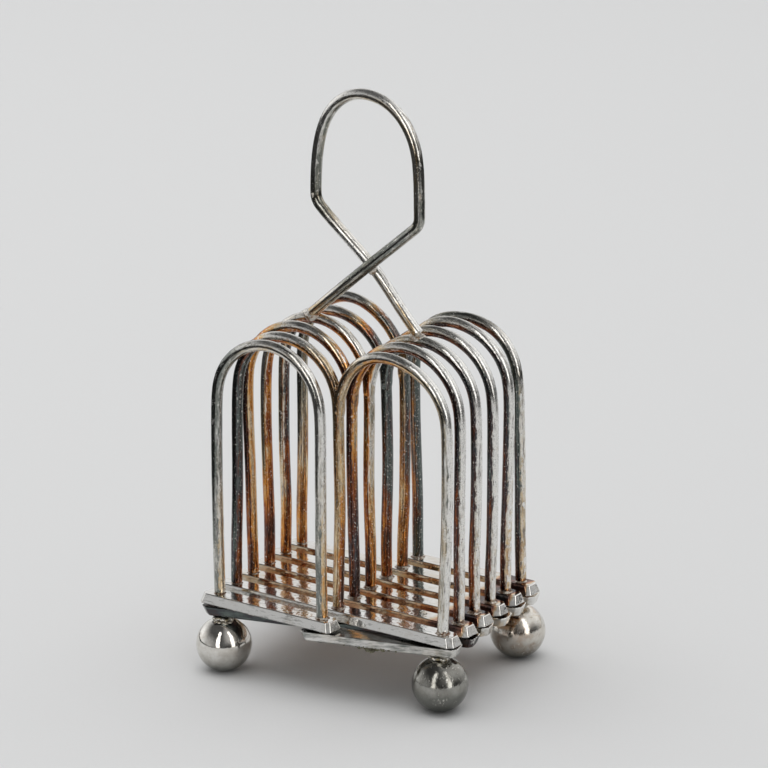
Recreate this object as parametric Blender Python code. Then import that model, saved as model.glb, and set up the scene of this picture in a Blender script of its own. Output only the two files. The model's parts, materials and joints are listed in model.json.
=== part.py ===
"""An expanding toast rack: crossing bars that pivot, wire arches, a wire handle and four ball feet.

Units are metres and +Z is up. The origin is on the surface that the rack stands on, under its middle pivot.
X runs across the rack and Y is the direction in which it opens, front at -Y.

The bars are numbered from 0 at the front. Bar k of each layer turns on centre pivot k. The first and the
last bar of a layer are half bars. An upper bar and the arches that stand on it are one frame. Each leg of
an arch ends in a thinner tenon that goes down through the upper and the lower bar and is riveted under
them, so the legs are the pivot pins as well.
"""

import math

import bmesh
import bpy
from mathutils import Vector

# The lattice of bars.
PIVOT_REACH = 0.0360              # from one pivot to the next along a bar
REST_ANGLE = math.radians(7.6)    # between each bar and the X axis, as the rack is stored
FULL_BARS = 5                     # full bars in a layer, an odd number

# One flat bar. Its wide faces meet its neighbour's in the other layer.
BAR_THICKNESS = 0.0028
BAR_WIDE_FACE = 0.0070
BAR_NARROW_FACE = 0.0054
BAR_OVERHANG = 0.0052             # past the last pivot, on the wide face
BAR_END_SLANT = 0.0010            # how far an end leans in over the thickness
BAR_CORNER = 0.0012               # corner cut off in plan
LAYER_GAP = 0.0006                # between the two layers

# The wire arches.
WIRE_DIAMETER = 0.0032
LEG_HEIGHT = 0.0588               # straight part of a leg above its bar
TENON_DIAMETER = 0.0022
RIVET_DIAMETER = 0.0038
RIVET_THICKNESS = 0.0005

# The wire handle on the middle frame.
HANDLE_WIDTH = 0.0358             # between its two sides, centre to centre
HANDLE_CROSS_RISE = 0.0335        # from the top of the arches up to the two bends
HANDLE_SIDE_LENGTH = 0.0165       # straight side between a bend and the round top
HANDLE_BEND_RADIUS = 0.0060

# The ball feet.
BALL_DIAMETER = 0.0159
BALL_FLAT_DIAMETER = 0.0040       # the flat that a ball stands on
BALL_INSET = 0.0010               # how far a ball sits inside its pivot
COLLAR_WALL = 0.0010
COLLAR_HEIGHT = 0.0009            # from the top of the ball to the bar over it

# Working clearances and facets.
CLEARANCE = 0.0003
WIRE_BEVEL_STEPS = 2
ARCH_STEPS = 12
BEND_STEPS = 4
CROSS_STEPS = 6
HOLE_SIDES = 12
BALL_SIDES = 20
BALL_RINGS = 9

# Sizes that follow from the ones above.
LAST = FULL_BARS + 1
MIDDLE = LAST // 2
PITCH = 2 * PIVOT_REACH * math.sin(REST_ANGLE)
ARCH_RADIUS = PIVOT_REACH / 2
WIRE_RADIUS = WIRE_DIAMETER / 2
BALL_RADIUS = BALL_DIAMETER / 2
BALL_CENTRE_Z = math.sqrt(BALL_RADIUS ** 2 - (BALL_FLAT_DIAMETER / 2) ** 2)
LOWER_BAR_Z = BALL_CENTRE_Z + BALL_RADIUS + COLLAR_HEIGHT
UPPER_BAR_Z = LOWER_BAR_Z + BAR_THICKNESS + LAYER_GAP
BAR_TOP_Z = UPPER_BAR_Z + BAR_THICKNESS
UPPER_ALONG = Vector((math.cos(REST_ANGLE), -math.sin(REST_ANGLE), 0))
LOWER_ALONG = Vector((math.cos(REST_ANGLE), math.sin(REST_ANGLE), 0))


def clear_scene():
    for item in list(bpy.data.objects):
        bpy.data.objects.remove(item)


def plated_metal(name, colour, roughness):
    material = bpy.data.materials.new(name)
    material.use_nodes = True
    shader = material.node_tree.nodes["Principled BSDF"]
    shader.inputs["Base Color"].default_value = (*colour, 1)
    shader.inputs["Metallic"].default_value = 1.0
    shader.inputs["Roughness"].default_value = roughness
    return material


def centre_pivot(k):
    return Vector((0, (k - MIDDLE) * PITCH, 0))


def left_pivot(k):
    """The left end of upper bar k, where it crosses lower bar k + 1."""
    return centre_pivot(k) - UPPER_ALONG * PIVOT_REACH


def right_pivot(k):
    """The right end of lower bar k, where it crosses upper bar k + 1."""
    return centre_pivot(k) + LOWER_ALONG * PIVOT_REACH


def hinge(name, parent, pivot):
    """An empty on a vertical hinge axis, hung on the empty of the body that carries it."""
    empty = bpy.data.objects.new(name, None)
    bpy.context.scene.collection.objects.link(empty)
    empty.parent = parent
    carrier = Vector(parent["pivot"]) if parent else Vector()
    empty.location = pivot - carrier
    empty["pivot"] = pivot
    return empty


def make_linkage():
    """The hinges, from the middle frame outwards: a frame hangs on its inner neighbour's lower bar."""
    frames = {MIDDLE: hinge("middle_frame", None, centre_pivot(MIDDLE))}
    lowers = {MIDDLE: hinge(f"lower_{MIDDLE}", frames[MIDDLE], centre_pivot(MIDDLE))}
    for k in range(MIDDLE + 1, LAST + 1):
        frames[k] = hinge(f"frame_{k}", lowers[k - 1], right_pivot(k - 1))
        lowers[k] = hinge(f"lower_{k}", frames[k], centre_pivot(k))
    for k in range(MIDDLE - 1, -1, -1):
        frames[k] = hinge(f"frame_{k}", lowers[k + 1], left_pivot(k))
        lowers[k] = hinge(f"lower_{k}", frames[k], centre_pivot(k))
    return frames, lowers


def add_object(name, data, material, body, place):
    """Puts a mesh or curve at a place in the rack and hangs it on its body's hinge."""
    item = bpy.data.objects.new(name, data)
    bpy.context.scene.collection.objects.link(item)
    if not data.materials:
        data.materials.append(material)
    item.parent = body
    item.location = place - Vector(body["pivot"])
    return item


def bar_outline(start, end, width, z):
    """Corners of one face of a bar, its four corners cut off, going round anticlockwise."""
    half = width / 2
    corner = min(BAR_CORNER, half / 2)
    corners = []
    for x, y, first in ((end, -half, "x"), (end, half, "y"), (start, half, "x"), (start, -half, "y")):
        inward_x = Vector((math.copysign(corner, (start + end) / 2 - x), 0, 0))
        inward_y = Vector((0, math.copysign(corner, -y), 0))
        point = Vector((x, y, z))
        pair = [point + inward_x, point + inward_y]
        corners += pair if first == "x" else pair[::-1]
    return corners


def drilled_bar(name, has_left, has_right):
    """A bar along X with a hole at each pivot: its wide face down at z = 0, its middle pivot over x = 0."""
    start = -PIVOT_REACH if has_left else 0
    end = PIVOT_REACH if has_right else 0
    bar = bmesh.new()
    wide = bar_outline(start - BAR_OVERHANG, end + BAR_OVERHANG, BAR_WIDE_FACE, 0)
    reach = BAR_OVERHANG - BAR_END_SLANT
    narrow = bar_outline(start - reach, end + reach, BAR_NARROW_FACE, BAR_THICKNESS)
    lower_ring = [bar.verts.new(point) for point in wide]
    upper_ring = [bar.verts.new(point) for point in narrow]
    bar.faces.new(lower_ring[::-1])
    bar.faces.new(upper_ring)
    for i, vert in enumerate(lower_ring):
        j = (i + 1) % len(lower_ring)
        bar.faces.new((vert, lower_ring[j], upper_ring[j], upper_ring[i]))
    blank = bpy.data.meshes.new(name)
    bar.to_mesh(blank)
    bar.free()
    holder = bpy.data.objects.new(name + "_blank", blank)
    bpy.context.scene.collection.objects.link(holder)
    drill = pivot_drills({start, 0, end})
    cut = holder.modifiers.new("pivot_holes", "BOOLEAN")
    cut.operation = "DIFFERENCE"
    cut.solver = "EXACT"
    cut.object = drill
    evaluated = holder.evaluated_get(bpy.context.evaluated_depsgraph_get())
    drilled = bpy.data.meshes.new_from_object(evaluated)
    drilled.name = name
    bpy.data.objects.remove(holder)
    bpy.data.objects.remove(drill)
    return drilled


def pivot_drills(places):
    """One cutter with a round rod through the bar at each place along X."""
    cutter = bmesh.new()
    for x in sorted(places):
        made = bmesh.ops.create_cone(
            cutter,
            cap_ends=True,
            segments=HOLE_SIDES,
            radius1=TENON_DIAMETER / 2 + CLEARANCE,
            radius2=TENON_DIAMETER / 2 + CLEARANCE,
            depth=3 * BAR_THICKNESS,
        )
        bmesh.ops.translate(cutter, verts=made["verts"], vec=(x, 0, BAR_THICKNESS / 2))
    mesh = bpy.data.meshes.new("pivot_drills")
    cutter.to_mesh(mesh)
    cutter.free()
    drill = bpy.data.objects.new("pivot_drills", mesh)
    bpy.context.scene.collection.objects.link(drill)
    drill.hide_render = True
    drill.display_type = "WIRE"
    return drill


def bar_name(layer, k):
    if k == 0:
        return f"{layer}_half_bar_front"
    if k == LAST:
        return f"{layer}_half_bar_back"
    return f"{layer}_bar_{k}"


def make_bars(frames, lowers, material):
    """The upper bars lean one way with their narrow face up, the lower bars the other way, upside down."""
    full = drilled_bar("full_bar", True, True)
    left_half = drilled_bar("left_half_bar", True, False)
    right_half = drilled_bar("right_half_bar", False, True)
    for k in range(LAST + 1):
        upper_mesh = left_half if k == 0 else right_half if k == LAST else full
        place = centre_pivot(k) + Vector((0, 0, UPPER_BAR_Z))
        upper = add_object(bar_name("upper", k), upper_mesh, material, frames[k], place)
        upper.rotation_euler = (0, 0, -REST_ANGLE)
        lower_mesh = right_half if k == 0 else left_half if k == LAST else full
        place = centre_pivot(k) + Vector((0, 0, LOWER_BAR_Z + BAR_THICKNESS))
        lower = add_object(bar_name("lower", k), lower_mesh, material, lowers[k], place)
        lower.rotation_euler = (math.pi, 0, REST_ANGLE)


def wire(name, points, material, body, place):
    """A round wire through points given as (position from place, thickness relative to the wire)."""
    curve = bpy.data.curves.new(name, "CURVE")
    curve.dimensions = "3D"
    curve.bevel_depth = WIRE_RADIUS
    curve.bevel_resolution = WIRE_BEVEL_STEPS
    curve.use_fill_caps = True
    spline = curve.splines.new("POLY")
    spline.points.add(len(points) - 1)
    spline.use_smooth = True
    for point, (position, thickness) in zip(spline.points, points):
        point.co = (*position, 1)
        point.radius = thickness
    return add_object(name, curve, material, body, place)


def tenon_points(across):
    """The turned-down end of a leg, from the riveted head up to the shoulder, at a distance along the bar."""
    head = RIVET_DIAMETER / WIRE_DIAMETER
    shank = TENON_DIAMETER / WIRE_DIAMETER
    under_bar = LOWER_BAR_Z - CLEARANCE - BAR_TOP_Z
    step = CLEARANCE / 3
    heights = (
        (under_bar - RIVET_THICKNESS, head * 0.7),
        (under_bar - RIVET_THICKNESS / 2, head),
        (under_bar - step, head),
        (under_bar, shank),
        (CLEARANCE, shank),
        (CLEARANCE + step, 1),
    )
    return [(UPPER_ALONG * across + Vector((0, 0, z)), size) for z, size in heights]


def arch_points(coped):
    """From the left foot over the top to the right foot. A coped wire starts beside its neighbour's leg."""
    first = 0
    if coped:
        first = math.acos(1 - (WIRE_DIAMETER + CLEARANCE) / (2 * ARCH_RADIUS))
    points = [] if coped else tenon_points(0)
    for i in range(ARCH_STEPS + 1):
        angle = first + (math.pi - first) * i / ARCH_STEPS
        across = ARCH_RADIUS * (1 - math.cos(angle))
        up = LEG_HEIGHT + ARCH_RADIUS * math.sin(angle)
        points.append((UPPER_ALONG * across + Vector((0, 0, up)), 1))
    return points + tenon_points(PIVOT_REACH)[::-1]


def make_arches(frames, material):
    """Two arches stand on each full upper bar and share its middle leg, and one stands on each half bar."""
    for k in range(LAST + 1):
        top = Vector((0, 0, BAR_TOP_Z))
        if k < LAST:
            name = "arch_left_front" if k == 0 else f"arch_left_{k}"
            wire(name, arch_points(False), material, frames[k], left_pivot(k) + top)
        if k > 0:
            name = "arch_right_back" if k == LAST else f"arch_right_{k}"
            wire(name, arch_points(k < LAST), material, frames[k], centre_pivot(k) + top)


def handle_half():
    """From one arch up past the crossing, round the bend and up the side, as (across, forward, up)."""
    top_of_arch = LEG_HEIGHT + ARCH_RADIUS
    bend_z = top_of_arch + HANDLE_CROSS_RISE
    side = HANDLE_WIDTH / 2
    foot = Vector((-ARCH_RADIUS, 0, 0))
    bend = Vector((side, 0, bend_z))
    slope = math.atan2(HANDLE_CROSS_RISE, side + ARCH_RADIUS)
    foot.z = top_of_arch + WIRE_RADIUS + CLEARANCE + WIRE_RADIUS * math.cos(slope)
    along = (bend - foot).normalized()
    turn = math.acos(along.z)
    trim = HANDLE_BEND_RADIUS * math.tan(turn / 2)
    crossing = WIRE_RADIUS + CLEARANCE / 2
    points = []
    for i in range(CROSS_STEPS + 1):
        share = i / CROSS_STEPS
        point = foot.lerp(bend - along * trim, share)
        point.y = -crossing * math.sin(math.pi * share) ** 2
        points.append(point)
    centre = Vector((side - HANDLE_BEND_RADIUS, 0, bend_z + trim))
    for i in range(1, BEND_STEPS + 1):
        angle = -turn * (1 - i / BEND_STEPS)
        offset = Vector((math.cos(angle), 0, math.sin(angle)))
        points.append(centre + offset * HANDLE_BEND_RADIUS)
    return points, bend_z + HANDLE_SIDE_LENGTH


def make_handle(body, material):
    """One wire whose ends stand on the two middle arches, cross each other and rise into a round loop."""
    half, side_top = handle_half()
    points = list(half)
    loop_radius = HANDLE_WIDTH / 2
    for i in range(ARCH_STEPS + 1):
        angle = math.pi * i / ARCH_STEPS
        points.append(Vector((loop_radius * math.cos(angle), 0, side_top + loop_radius * math.sin(angle))))
    points += [Vector((-point.x, -point.y, point.z)) for point in reversed(half)]
    forward = Vector((-UPPER_ALONG.y, UPPER_ALONG.x, 0))
    placed = [(UPPER_ALONG * p.x + forward * p.y + Vector((0, 0, p.z)), 1) for p in points]
    wire("handle_wire", placed, material, body, centre_pivot(MIDDLE) + Vector((0, 0, BAR_TOP_Z)))


def ball_profile():
    """Half the outline of a ball foot as (radius, height), from the floor of its recess to its flat."""
    recess = RIVET_DIAMETER / 2 + BALL_INSET + CLEARANCE
    collar = recess + COLLAR_WALL
    rim_z = LOWER_BAR_Z - CLEARANCE
    recess_z = rim_z - RIVET_THICKNESS - CLEARANCE
    outline = [(0, recess_z), (recess, recess_z), (recess, rim_z), (collar, rim_z)]
    upper = math.acos(collar / BALL_RADIUS)
    lower = -math.acos(BALL_FLAT_DIAMETER / 2 / BALL_RADIUS)
    for i in range(BALL_RINGS + 1):
        angle = upper + (lower - upper) * i / BALL_RINGS
        outline.append((BALL_RADIUS * math.cos(angle), BALL_CENTRE_Z + BALL_RADIUS * math.sin(angle)))
    return outline + [(0, outline[-1][1])]


def ball_mesh():
    ball = bmesh.new()
    verts = [ball.verts.new((radius, 0, z)) for radius, z in ball_profile()]
    edges = [ball.edges.new(pair) for pair in zip(verts, verts[1:])]
    bmesh.ops.spin(
        ball,
        geom=verts + edges,
        cent=(0, 0, 0),
        axis=(0, 0, 1),
        angle=2 * math.pi,
        steps=BALL_SIDES,
        use_merge=True,
    )
    bmesh.ops.remove_doubles(ball, verts=ball.verts, dist=1e-6)
    bmesh.ops.recalc_face_normals(ball, faces=ball.faces)
    mesh = bpy.data.meshes.new("ball_foot")
    ball.to_mesh(mesh)
    ball.free()
    mesh.shade_smooth()
    mesh.set_sharp_from_angle(angle=math.radians(40))
    return mesh


def make_feet(lowers, material):
    """A ball under the lower bar at each corner pivot, set in towards the middle of the rack."""
    mesh = ball_mesh()
    inset = Vector((BALL_INSET, 0, 0))
    corners = (
        ("ball_foot_front_left", 1, left_pivot(0) + inset),
        ("ball_foot_front_right", 0, right_pivot(0) - inset),
        ("ball_foot_back_left", LAST, left_pivot(FULL_BARS) + inset),
        ("ball_foot_back_right", FULL_BARS, right_pivot(FULL_BARS) - inset),
    )
    for name, lower, place in corners:
        add_object(name, mesh, material, lowers[lower], place)


def make_rack():
    clear_scene()
    bar_finish = plated_metal("bar_plate", (0.62, 0.60, 0.56), 0.28)
    wire_finish = plated_metal("wire_plate", (0.60, 0.57, 0.50), 0.25)
    handle_finish = plated_metal("handle_plate", (0.70, 0.69, 0.66), 0.20)
    ball_finish = plated_metal("ball_plate", (0.66, 0.65, 0.63), 0.15)
    frames, lowers = make_linkage()
    make_bars(frames, lowers, bar_finish)
    make_arches(frames, wire_finish)
    make_handle(frames[MIDDLE], handle_finish)
    make_feet(lowers, ball_finish)


make_rack()
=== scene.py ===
import json
import math
import random

import bmesh
import bpy
from mathutils import Matrix, Vector, noise


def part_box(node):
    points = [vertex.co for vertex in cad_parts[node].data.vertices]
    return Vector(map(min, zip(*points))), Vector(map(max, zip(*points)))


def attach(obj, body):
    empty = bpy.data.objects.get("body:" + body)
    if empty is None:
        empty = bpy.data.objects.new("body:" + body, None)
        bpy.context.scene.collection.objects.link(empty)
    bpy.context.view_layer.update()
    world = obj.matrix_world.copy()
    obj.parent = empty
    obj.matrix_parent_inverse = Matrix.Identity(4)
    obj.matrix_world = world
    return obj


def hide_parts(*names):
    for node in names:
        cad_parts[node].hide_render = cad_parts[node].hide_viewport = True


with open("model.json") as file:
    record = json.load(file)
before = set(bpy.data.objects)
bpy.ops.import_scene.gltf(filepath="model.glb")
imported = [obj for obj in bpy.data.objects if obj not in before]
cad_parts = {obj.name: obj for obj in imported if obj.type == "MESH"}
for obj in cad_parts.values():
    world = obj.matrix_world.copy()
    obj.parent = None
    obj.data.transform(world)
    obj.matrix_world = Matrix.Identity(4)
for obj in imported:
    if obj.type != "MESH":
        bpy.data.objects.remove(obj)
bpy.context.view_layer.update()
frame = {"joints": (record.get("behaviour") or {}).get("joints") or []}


# The flat bars: strips of drawn nickel silver, drilled where they cross, filed by hand at the ends and
# plated. The upper layer has its narrow face up and the lower layer its narrow face down, so that the wide
# faces meet. The plate tarnishes from straw and gold to red-brown, purple, slate and green.
MIDDLE_FRAME = 3
LAST_FRAME = 6
hinges = {joint["name"]: Vector(joint["pos_m"]) for joint in frame["joints"]}
right_hinge = hinges["frame_4_turn"] - hinges["fold"]
PIVOT_REACH = right_hinge.xy.length
LEAN = math.atan2(right_hinge.y, right_hinge.x)
PITCH = 2 * right_hinge.y
UPPER_ALONG = Vector((math.cos(LEAN), -math.sin(LEAN), 0))
LOWER_ALONG = Vector((math.cos(LEAN), math.sin(LEAN), 0))
UPPER_BOTTOM_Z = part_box("upper_bar_3")[0].z
BAR_TOP_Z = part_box("upper_bar_3")[1].z
LOWER_BOTTOM_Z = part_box("lower_bar_3")[0].z
LOWER_TOP_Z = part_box("lower_bar_3")[1].z
BAR_THICKNESS = BAR_TOP_Z - UPPER_BOTTOM_Z
BAR_WIDE_FACE = 0.0070
BAR_NARROW_FACE = 0.0054
BAR_OVERHANG = 0.0054
BAR_END_SLANT = 0.0009
BAR_EDGE_ROUND = 0.00030
BAR_END_PLAY = 0.0006         # how far one bar's end differs from the next one's
BAR_CORNER_CUTS = (0.0010, 0.0017)
BAR_STATION = 0.0025
BAR_END_KEPT = 0.0022         # the ends are filed, and aren't divided any further
HOLE_RADIUS = 0.0014
SILVER = (0.83, 0.82, 0.79)
TARNISH_STOPS = (
    (0.00, SILVER),
    (0.16, (0.72, 0.68, 0.61)),
    (0.30, (0.68, 0.50, 0.28)),
    (0.42, (0.62, 0.27, 0.06)),
    (0.54, (0.30, 0.09, 0.03)),
    (0.66, (0.10, 0.05, 0.04)),
    (0.78, (0.07, 0.07, 0.08)),
    (0.88, (0.11, 0.14, 0.13)),
    (1.00, (0.22, 0.25, 0.22)),
)
SLATE = (0.13, 0.15, 0.14)
BAR_BARE = (0.86, 0.84, 0.80)
BAR_PIT = (0.10, 0.08, 0.07)
BAR_COLOUR_STRENGTH = 0.72
BAR_RELIEF = 0.00010
# Tarnish and dullness of each bar, from the front to the back. The pairs are a level and how patchy it is,
# on the sloping sides of the upper bars, on the left half of the second bar and round the right legs.
UPPER_BAR_FILM = (-0.04, -0.03, 0.11, 0.08, 0.07, 0.08, 0.12)
UPPER_BAR_DULL = (0.20, 0.16, 0.0, 0.0, 0.0, 0.0, 0.05)
LOWER_BAR_FILM = (0.10, 0.78, 0.30, 0.38, 0.36, 0.32, 0.26)
LOWER_BAR_DULL = (0.45, 0.25, 0.30, 0.15, 0.15, 0.15, 0.30)
FLANK_FILM = (0.46, 0.28)
SECOND_FLANK_FILM = (0.24, 0.20)
RIGHT_LEG_FILM = (0.58, 0.16)
TIP_FILM = 0.06


def centre_pivot(k):
    return Vector((0, (k - MIDDLE_FRAME) * PITCH, 0))


def left_pivot(k):
    return centre_pivot(k) - UPPER_ALONG * PIVOT_REACH


def right_pivot(k):
    return centre_pivot(k) + UPPER_ALONG * PIVOT_REACH


def frame_body(k):
    own = {0: "front_half_frame", MIDDLE_FRAME: "middle_frame", LAST_FRAME: "back_half_frame"}
    return own.get(k, f"frame_{k}")


def lower_body(k):
    return {0: "lower_front_half", LAST_FRAME: "lower_back_half"}.get(k, f"lower_{k}")


def bar_node(layer, k):
    return {0: f"{layer}_half_bar_front", LAST_FRAME: f"{layer}_half_bar_back"}.get(k, f"{layer}_bar_{k}")


def add_node(tree, kind, inputs=None, **settings):
    """A new node whose inputs are either a value or another node's output."""
    made = tree.nodes.new(kind)
    for name, value in settings.items():
        setattr(made, name, value)
    for name, value in (inputs or {}).items():
        if isinstance(value, bpy.types.NodeSocket):
            tree.links.new(value, made.inputs[name])
        else:
            made.inputs[name].default_value = value
    return made


def new_object(name, data):
    made = bpy.data.objects.new(name, data)
    bpy.context.scene.collection.objects.link(made)
    return made


def finished_solid(name, solid):
    """Turns a bmesh into a mesh and frees it."""
    mesh = bpy.data.meshes.new(name)
    solid.to_mesh(mesh)
    solid.free()
    return mesh


def applied(holder):
    """The mesh of an object with its modifiers applied."""
    depsgraph = bpy.context.evaluated_depsgraph_get()
    return bpy.data.meshes.new_from_object(holder.evaluated_get(depsgraph))


def blend_values(tree, operation, first, second, third=0.0):
    return add_node(tree, "ShaderNodeMath", {0: first, 1: second, 2: third}, operation=operation).outputs[0]


def multiplied(tree, first, second):
    return blend_values(tree, "MULTIPLY", first, second)


def with_added(tree, base, extra, share):
    """A value with a share of another one added to it."""
    return blend_values(tree, "MULTIPLY_ADD", extra, share, base)


def spread(tree, value, low, high, to_low=0.0, to_high=1.0):
    """Stretches a value from one span to another and clamps it."""
    spans = {"Value": value, "From Min": low, "From Max": high, "To Min": to_low, "To Max": to_high}
    return add_node(tree, "ShaderNodeMapRange", spans).outputs["Result"]


def swing(tree, noise_value, reach=1.0):
    """Noise as a value that goes from about -reach to reach."""
    return spread(tree, noise_value, 0.3, 0.7, -reach, reach)


def stored(tree, name):
    """A number that the mesh keeps under a name."""
    return add_node(tree, "ShaderNodeAttribute", attribute_name=name).outputs["Fac"]


def grain(tree, place, size, detail=3.0, roughness=0.55, stretch=(1, 1, 1)):
    """Noise with features of about the given size in metres, longer where stretch is over 1."""
    scale = [1 / (size * longer) for longer in stretch]
    scaled = add_node(tree, "ShaderNodeMapping", {"Vector": place, "Scale": scale}).outputs[0]
    inputs = {"Vector": scaled, "Scale": 1.0, "Detail": detail, "Roughness": roughness}
    return add_node(tree, "ShaderNodeTexNoise", inputs).outputs["Fac"]


def mix_colour(tree, share, first, second):
    mixer = add_node(tree, "ShaderNodeMix", data_type="RGBA")
    for index, value in ((0, share), (6, first), (7, second)):
        if isinstance(value, bpy.types.NodeSocket):
            tree.links.new(value, mixer.inputs[index])
        else:
            mixer.inputs[index].default_value = value if index == 0 else (*value, 1)
    return mixer.outputs[2]


def tarnish_colour(tree, thickness):
    """The colour of a tarnish film from none, at 0, to thick, at 1."""
    ramp = add_node(tree, "ShaderNodeValToRGB", {"Fac": thickness})
    band = ramp.color_ramp
    for place, colour in TARNISH_STOPS[1:-1]:
        band.elements.new(place)
    for element, (place, colour) in zip(band.elements, TARNISH_STOPS):
        element.position = place
        element.color = (*colour, 1)
    return ramp.outputs["Color"]


def start_finish(name, metallic=1.0, roughness=0.5):
    """A new material, with its node tree and its shader."""
    material = bpy.data.materials.new(name)
    material.use_nodes = True
    tree = material.node_tree
    shader = tree.nodes["Principled BSDF"]
    shader.inputs["Metallic"].default_value = metallic
    shader.inputs["Roughness"].default_value = roughness
    return material, tree, shader


def finish_metal(tree, shader, colour, roughness, height, depth):
    tree.links.new(colour, shader.inputs["Base Color"])
    tree.links.new(roughness, shader.inputs["Roughness"])
    bump = add_node(tree, "ShaderNodeBump", {"Height": height, "Strength": 1.0, "Distance": depth})
    tree.links.new(bump.outputs["Normal"], shader.inputs["Normal"])


def dulled(tree, colour, share, strength):
    """Greys a colour where the plate is worn down to dull metal, from a share of the surface."""
    ragged = blend_values(tree, "ADD", strength, swing(tree, share, 0.45))
    ragged = multiplied(tree, ragged, spread(tree, strength, 0.0, 0.12))
    return mix_colour(tree, spread(tree, ragged, 0.25, 0.85, 0.0, 0.92), colour, SLATE)


def bar_plate():
    """Polished flat plate: tarnished on its faces, rubbed bright along its edges and at its ends."""
    material, tree, shader = start_finish("bar_plate")
    place = add_node(tree, "ShaderNodeTexCoord").outputs["Object"]
    film = stored(tree, "tarnish")
    wear = stored(tree, "rubbed")
    grey = stored(tree, "dull")
    patches = grain(tree, place, 0.0065, detail=4, roughness=0.6)
    streaks = grain(tree, place, 0.0010, detail=4, roughness=0.7, stretch=(6, 1, 1))
    specks = grain(tree, place, 0.00045, detail=3, roughness=0.6)
    film = with_added(tree, film, spread(tree, patches, 0.32, 0.68, -1, 1), 0.13)
    film = with_added(tree, film, swing(tree, streaks), 0.07)
    colour = tarnish_colour(tree, film)
    muted = {"Saturation": BAR_COLOUR_STRENGTH, "Color": colour}
    colour = add_node(tree, "ShaderNodeHueSaturation", muted).outputs[0]
    colour = dulled(tree, colour, streaks, grey)
    ragged = with_added(tree, wear, swing(tree, streaks, 0.5), 0.7)
    worn = spread(tree, ragged, 0.45, 0.75)
    colour = mix_colour(tree, worn, colour, BAR_BARE)
    pits = spread(tree, specks, 0.66, 0.74)
    pits = multiplied(tree, pits, spread(tree, wear, 0.2, 0.6, 0.30, 0.9))
    colour = mix_colour(tree, pits, colour, BAR_PIT)
    roughness = spread(tree, streaks, 0.3, 0.75, 0.06, 0.15)
    roughness = with_added(tree, roughness, worn, 0.12)
    roughness = with_added(tree, roughness, grey, 0.10)
    waves = grain(tree, place, 0.0028, detail=2)
    height = with_added(tree, waves, streaks, 0.06)
    height = with_added(tree, height, specks, 0.03)
    finish_metal(tree, shader, colour, roughness, height, BAR_RELIEF)
    return material


def add_piece(name, mesh, material, body, node=None):
    """Puts a finished mesh in the rack, in place of a CAD node if one is named."""
    mesh.materials.clear()
    mesh.materials.append(material)
    piece = new_object(name, mesh)
    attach(piece, body)
    if node:
        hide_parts(node)


def point_values(mesh, name, values):
    """Stores one number for each vertex, which the material reads by name."""
    layer = mesh.attributes.new(name, "FLOAT", "POINT")
    layer.data.foreach_set("value", values)


def filed_outline(start, end, width, z, cuts):
    """One face of a bar, going round anticlockwise: square ends with their corners filed off."""
    half = width / 2
    front_end, back_end, back_start, front_start = cuts
    return [
        Vector((start, -half + front_start, z)),
        Vector((start + front_start, -half, z)),
        Vector((end - front_end, -half, z)),
        Vector((end, -half + front_end, z)),
        Vector((end, half - back_end, z)),
        Vector((end - back_end, half, z)),
        Vector((start + back_start, half, z)),
        Vector((start, half - back_start, z)),
    ]


def filed_bar(name, has_left, has_right, chance):
    """An unevenly filed bar along X, with its wide face at z = 0 and its middle pivot at x = 0."""
    start = (-PIVOT_REACH if has_left else 0) - BAR_OVERHANG - chance.uniform(-BAR_END_PLAY, BAR_END_PLAY)
    end = (PIVOT_REACH if has_right else 0) + BAR_OVERHANG + chance.uniform(-BAR_END_PLAY, BAR_END_PLAY)
    cuts = [chance.uniform(*BAR_CORNER_CUTS) for corner in range(4)]
    slants = [BAR_END_SLANT * chance.uniform(0.7, 1.2) for side in range(2)]
    bar = bmesh.new()
    wide = [bar.verts.new(p) for p in filed_outline(start, end, BAR_WIDE_FACE, 0, cuts)]
    upper = filed_outline(start + slants[0], end - slants[1], BAR_NARROW_FACE, BAR_THICKNESS, cuts)
    narrow = [bar.verts.new(p) for p in upper]
    bar.faces.new(wide[::-1])
    bar.faces.new(narrow)
    for i, vert in enumerate(wide):
        j = (i + 1) % len(wide)
        bar.faces.new((vert, wide[j], narrow[j], narrow[i]))
    rounded = {"offset": BAR_EDGE_ROUND, "segments": 3, "profile": 0.62, "affect": "EDGES"}
    bmesh.ops.bevel(bar, geom=bar.edges[:], **rounded)
    stations = int((end - start) / BAR_STATION)
    for i in range(1, stations):
        x = start + BAR_END_KEPT + (end - start - 2 * BAR_END_KEPT) * i / stations
        everything = bar.verts[:] + bar.edges[:] + bar.faces[:]
        bmesh.ops.bisect_plane(bar, geom=everything, plane_co=(x, 0, 0), plane_no=(1, 0, 0))
    shift = chance.uniform(0, 90)
    for vert in bar.verts:
        x, y, z = vert.co
        vert.co.y += 0.00010 * noise.noise((x * 45 + shift, 0, 0))
        vert.co.z += 0.00005 * noise.noise((x * 90 + shift, y * 120, 7))
    return finished_solid(name, bar), start, end


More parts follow.
